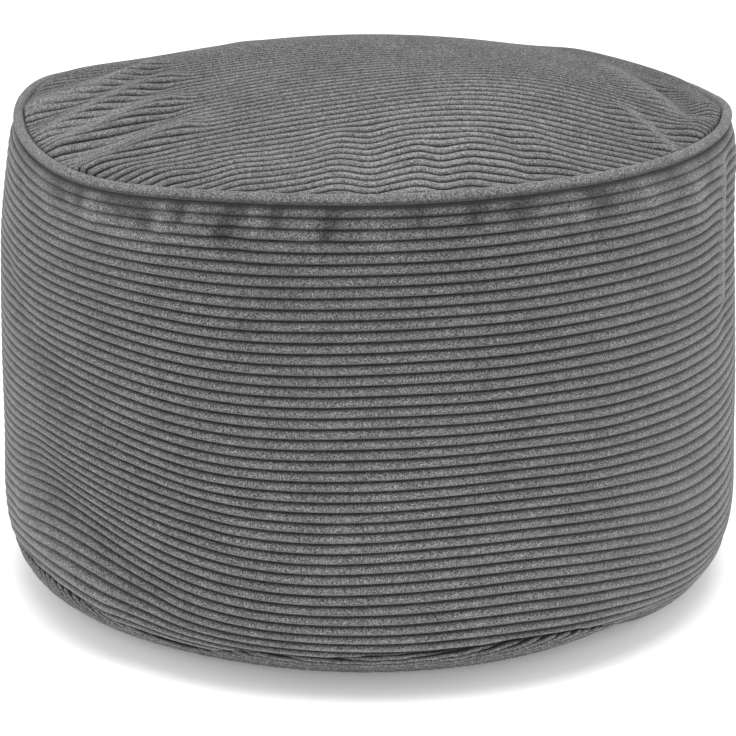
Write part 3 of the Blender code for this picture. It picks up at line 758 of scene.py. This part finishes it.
def make_base_panel(material):
    """The round panel below: flat where it rests, its ribs curling up to the base seam."""
    azimuth = np.arange(BASE_SEGMENTS) * 2 * np.pi / BASE_SEGMENTS
    seam = np.interp(base_seam_height(azimuth), OUTLINE[:, 0], OUTLINE_LENGTH)
    loops = []
    groove_and_painted_shades = []
    for ring in range(1, BASE_FLAT_RINGS):
        part = ring / BASE_FLAT_RINGS
        flat = bag_point(azimuth, np.zeros_like(azimuth), np.zeros_like(azimuth))
        loops.append(flat * [part, part, 0.0])
        groove_and_painted_shades.append(np.zeros_like(azimuth))
    for ring in range(BASE_CURL_RINGS + 1):
        part = ring / BASE_CURL_RINGS
        along = seam * ring / BASE_CURL_RINGS
        flat_x = (OUTLINE[0, 1] + along) * np.sin(azimuth)
        flat_y = -(OUTLINE[0, 1] + along) * np.cos(azimuth)
        wander = unevenness(flat_x, flat_y, 0.0, *BASE_WANDER_NOISE)
        across = (flat_y + BASE_RIB_WANDER * wander) / RIB_PITCH
        share = ((1 + np.cos(2 * np.pi * across)) / 2) ** BASE_RIB_CURVE
        # Near the seam the panel turns in: its ribs run full depth there and the crease is painted dark
        # as shade.
        share = share + (1 - share) * smooth_step((part - (1 - BASE_TUCK)) / BASE_TUCK)
        pressed = smooth_step(along / BASE_PRESSED)
        sunk = BASE_RIB_DEPTH * share * pressed
        shift = GATHER_SHIFT * unevenness(flat_x, flat_y, 0.0, *GATHER_SHIFT_NOISE)
        size = (1 + unevenness(flat_x, flat_y, 0.0, *GATHER_SIZE_NOISE)) / 2
        gathered = GATHER * np.sin(azimuth * GATHERS + shift) * smooth_step(along / seam) * size
        loops.append(bag_point(azimuth, along, gathered - sunk))
        groove_and_painted_shades.append(share * pressed)
    loops[-1][:, 2] -= GAP / 2
    middles = [[0.0, 0.0, 0.0], [0.0, 0.0, loops[-1][:, 2].mean()]]
    points = np.vstack([*loops, middles])
    faces = closed_rings(len(loops), BASE_SEGMENTS)
    marks = {
        "groove_and_painted_shade": np.append(np.concatenate(groove_and_painted_shades), [0, 0]),
        "rubbed_and_sheen": np.zeros(len(points)),
        "pile_tone_and_painted_light": np.zeros(len(points)),
    }
    return new_piece("base_panel_cloth", points, faces, marks, material)


# ---- Materials --------------------------------------------------------------------------------
GRAIN = 0.00055              # size of the pile's lighter and darker tips
COARSE_GRAIN = 1.3 * GRAIN   # size of the second layer of them
COARSE_STRENGTH = 0.85       # how strong that layer is beside the first
CLOUD_RANGE = (0.32, 0.68)   # values that soft noise mostly takes
BLOTCH_SCALE = 40.0
BLOTCH_STRENGTH = 0.07
CAST_SCALE = 9.0
CAST_STRENGTH = 0.06
TONE_AND_PAINTED_LIGHT_LIMIT = 0.6          # most that the crushed pile's tone and the painted light and shade lighten or darken it
RUBBED_AND_SHEEN_PALENESS = 1.15          # how pale the pile is where its ribs fade: crushed and puckered pile on the side band, painted sheen on the top panel's bands
PILE_ROUGHNESS = 0.92
PILE_SPECULAR = 0.15
SHEEN_ROUGHNESS = 0.45
SHEEN_TINT = (0.9, 0.9, 0.92, 1.0)
TIP_SCALE = 0.9 / GRAIN
TIP_ROUGHNESS = 0.6
TIP_STRENGTH = 0.55
TIP_HEIGHT = 0.0006

# The pile of each cloth.
#   shade, groove marks from which it darkens and is darkest, its shade there, speckle, sheen
# The grooves' darkening is partly painted shade; on the piping it is painted shade on the cord's
# underside.
SIDE_PILE = ((0.103, 0.103, 0.104), (0.12, 0.97), 0.20, 0.66, 0.22)
TOP_PILE = ((0.112, 0.112, 0.113), (0.06, 0.72), 0.06, 0.60, 0.05)
BASE_PILE = ((0.128, 0.128, 0.129), (0.08, 0.60), 0.04, 0.55, 0.12)
PIPING_PILE = ((0.092, 0.092, 0.093), (0.00, 1.00), 0.58, 0.60, 0.08)


def corduroy(name, shade, groove_range, groove_shade, speckled, sheen):
    """Velvety cotton pile: speckled crests, darker between the ribs partly as painted shade, painted
    light and shade from its marks, and paler where the ribs fade, partly as painted sheen.
    """
    material = bpy.data.materials.new(name)
    material.use_nodes = True
    tree = material.node_tree
    nodes = tree.nodes
    links = tree.links
    shader = nodes["Principled BSDF"]
    shader.inputs["Roughness"].default_value = PILE_ROUGHNESS
    shader.inputs["Specular IOR Level"].default_value = PILE_SPECULAR
    shader.inputs["Sheen Weight"].default_value = sheen
    shader.inputs["Sheen Roughness"].default_value = SHEEN_ROUGHNESS
    shader.inputs["Sheen Tint"].default_value = SHEEN_TINT

    place = nodes.new("ShaderNodeTexCoord")

    def noise(scale, detail, roughness=0.5):
        node = nodes.new("ShaderNodeTexNoise")
        node.inputs["Scale"].default_value = scale
        node.inputs["Detail"].default_value = detail
        node.inputs["Roughness"].default_value = roughness
        links.new(place.outputs["Object"], node.inputs["Vector"])
        return node.outputs["Fac"]

    def ranged(value, low, high, to_low, to_high):
        node = nodes.new("ShaderNodeMapRange")
        node.inputs["From Min"].default_value = low
        node.inputs["From Max"].default_value = high
        node.inputs["To Min"].default_value = to_low
        node.inputs["To Max"].default_value = to_high
        links.new(value, node.inputs["Value"])
        return node.outputs["Result"]

    def varied(value, low, high, strength):
        return ranged(value, low, high, 1 - strength, 1 + strength)

    def times(a, b):
        node = nodes.new("ShaderNodeMath")
        node.operation = "MULTIPLY"
        links.new(a, node.inputs[0])
        links.new(b, node.inputs[1])
        return node.outputs[0]

    def mark(mark_name):
        node = nodes.new("ShaderNodeAttribute")
        node.attribute_name = mark_name
        return node.outputs["Fac"]

    def tuft(size):
        cell = nodes.new("ShaderNodeVectorMath")
        cell.operation = "SNAP"
        cell.inputs[1].default_value = (size, size, size)
        links.new(place.outputs["Object"], cell.inputs[0])
        node = nodes.new("ShaderNodeTexWhiteNoise")
        node.noise_dimensions = "3D"
        links.new(cell.outputs["Vector"], node.inputs["Vector"])
        return node.outputs["Value"]

    fine = varied(tuft(GRAIN), 0.0, 1.0, speckled)
    coarse = varied(tuft(COARSE_GRAIN), 0.0, 1.0, COARSE_STRENGTH * speckled)
    speckle = times(fine, coarse)
    blotch = varied(noise(BLOTCH_SCALE, 1.0), *CLOUD_RANGE, BLOTCH_STRENGTH)
    cast = varied(noise(CAST_SCALE, 2.0), *CLOUD_RANGE, CAST_STRENGTH)
    # Grooves painted darker: backing cloth in part, painted shade in part.
    groove_and_painted_shade = ranged(mark("groove_and_painted_shade"), *groove_range, 1.0, groove_shade)
    # Crushed pile's tone with painted light and shade.
    pile_tone_and_painted_light = varied(mark("pile_tone_and_painted_light"), -TONE_AND_PAINTED_LIGHT_LIMIT, TONE_AND_PAINTED_LIGHT_LIMIT, TONE_AND_PAINTED_LIGHT_LIMIT)
    # Paler where the ribs fade: crushed pile in part, painted sheen in part.
    rubbed_and_sheen = ranged(mark("rubbed_and_sheen"), 0.0, 1.0, 1.0, RUBBED_AND_SHEEN_PALENESS)
    strength = times(times(times(speckle, blotch), times(cast, groove_and_painted_shade)), times(rubbed_and_sheen, pile_tone_and_painted_light))
    colour = nodes.new("ShaderNodeMix")
    colour.data_type = "RGBA"
    colour.blend_type = "MULTIPLY"
    colour.inputs["Factor"].default_value = 1.0
    colour.inputs["A"].default_value = (*shade, 1.0)
    tint = nodes.new("ShaderNodeCombineColor")
    for channel in ("Red", "Green", "Blue"):
        links.new(strength, tint.inputs[channel])
    links.new(tint.outputs["Color"], colour.inputs["B"])
    links.new(colour.outputs["Result"], shader.inputs["Base Color"])

    tips = nodes.new("ShaderNodeBump")
    tips.inputs["Strength"].default_value = TIP_STRENGTH
    tips.inputs["Distance"].default_value = TIP_HEIGHT
    links.new(noise(TIP_SCALE, 2.0, TIP_ROUGHNESS), tips.inputs["Height"])
    links.new(tips.outputs["Normal"], shader.inputs["Normal"])
    return material


# ---- Light, floor and camera ------------------------------------------------------------------
WHITE = (1.0, 1.0, 1.0, 1.0)
WORLD_STRENGTH = 0.88
FLOOR_REACH = 8.0
FLOOR_SHADE = (0.94, 0.94, 0.94, 1.0)
FLOOR_ROUGHNESS = 0.5
FLOOR_GLOW = 0.12
CAMERA_PLACE = (0.0, -2.08139, 0.85262)
CAMERA_TILT = 71.1           # degrees up from looking straight down
CAMERA_LENS = 157.28         # millimetres, on the sensor below
SENSOR_WIDTH = 36.0

#   name, place, aim, size, power (W)
LIGHTS = (
    ("overhead", (0.0, -0.35, 2.4), (0.0, 0.0, 0.20), 1.9, 50.0),
    ("left_box", (-2.4, -0.3, 1.1), (0.0, 0.0, 0.15), 1.4, 15.0),
    ("right_box", (2.4, -0.3, 1.1), (0.0, 0.0, 0.15), 1.4, 15.0),
    ("front_box", (0.0, -2.6, 0.9), (0.0, 0.0, 0.15), 1.5, 32.0),
)


def soft_light(name, place, aim, size, power):
    """A round area light at a place, turned to its aim."""
    light = bpy.data.lights.new(name, "AREA")
    light.shape = "DISK"
    light.size = size
    light.energy = power
    lamp = bpy.data.objects.new(name, light)
    bpy.context.scene.collection.objects.link(lamp)
    lamp.location = place
    to_aim = Vector(aim) - Vector(place)
    lamp.rotation_euler = to_aim.to_track_quat("-Z", "Y").to_euler()


def floor_white():
    """A matte white that glows a little."""
    material = bpy.data.materials.new("floor_white")
    material.use_nodes = True
    shader = material.node_tree.nodes["Principled BSDF"]
    shader.inputs["Base Color"].default_value = FLOOR_SHADE
    shader.inputs["Roughness"].default_value = FLOOR_ROUGHNESS
    shader.inputs["Emission Color"].default_value = WHITE
    shader.inputs["Emission Strength"].default_value = FLOOR_GLOW
    return material


def make_studio():
    """Soft white surroundings, four round lights and a plain floor under the footstool."""
    world = bpy.data.worlds.new("studio")
    bpy.context.scene.world = world
    world.use_nodes = True
    back = world.node_tree.nodes["Background"]
    back.inputs["Color"].default_value = WHITE
    back.inputs["Strength"].default_value = WORLD_STRENGTH
    for name, place, aim, size, power in LIGHTS:
        soft_light(name, place, aim, size, power)
    bpy.context.scene.view_settings.view_transform = "Standard"
    mesh = bpy.data.meshes.new("floor")
    corners = [(x * FLOOR_REACH, y * FLOOR_REACH, 0.0) for x, y in ((-1, -1), (1, -1), (1, 1), (-1, 1))]
    mesh.from_pydata(corners, [], [(0, 1, 2, 3)])
    mesh.materials.append(floor_white())
    floor = bpy.data.objects.new("floor", mesh)
    bpy.context.scene.collection.objects.link(floor)


def make_camera():
    """The view of the photograph: from the front and a little above."""
    data = bpy.data.cameras.new("camera")
    data.sensor_width = SENSOR_WIDTH
    data.lens = CAMERA_LENS
    camera = bpy.data.objects.new("camera", data)
    camera.location = CAMERA_PLACE
    camera.rotation_euler = (math.radians(CAMERA_TILT), 0.0, 0.0)
    bpy.context.scene.collection.objects.link(camera)
    bpy.context.scene.camera = camera


def dress(piece, node):
    """Puts one cloth on the body in place of its solid."""
    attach(piece, "root")
    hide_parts(node)


side_band = make_side_band(corduroy("side_corduroy_pile", *SIDE_PILE))
dress(side_band, "side_band")
top_panel = make_top_panel(corduroy("top_corduroy_pile", *TOP_PILE))
dress(top_panel, "top_panel")
base_panel = make_base_panel(corduroy("base_corduroy_pile", *BASE_PILE))
dress(base_panel, "base_panel")
top_piping = make_piping(corduroy("piping_pile", *PIPING_PILE))
dress(top_piping, "top_piping")
make_studio()
make_camera()
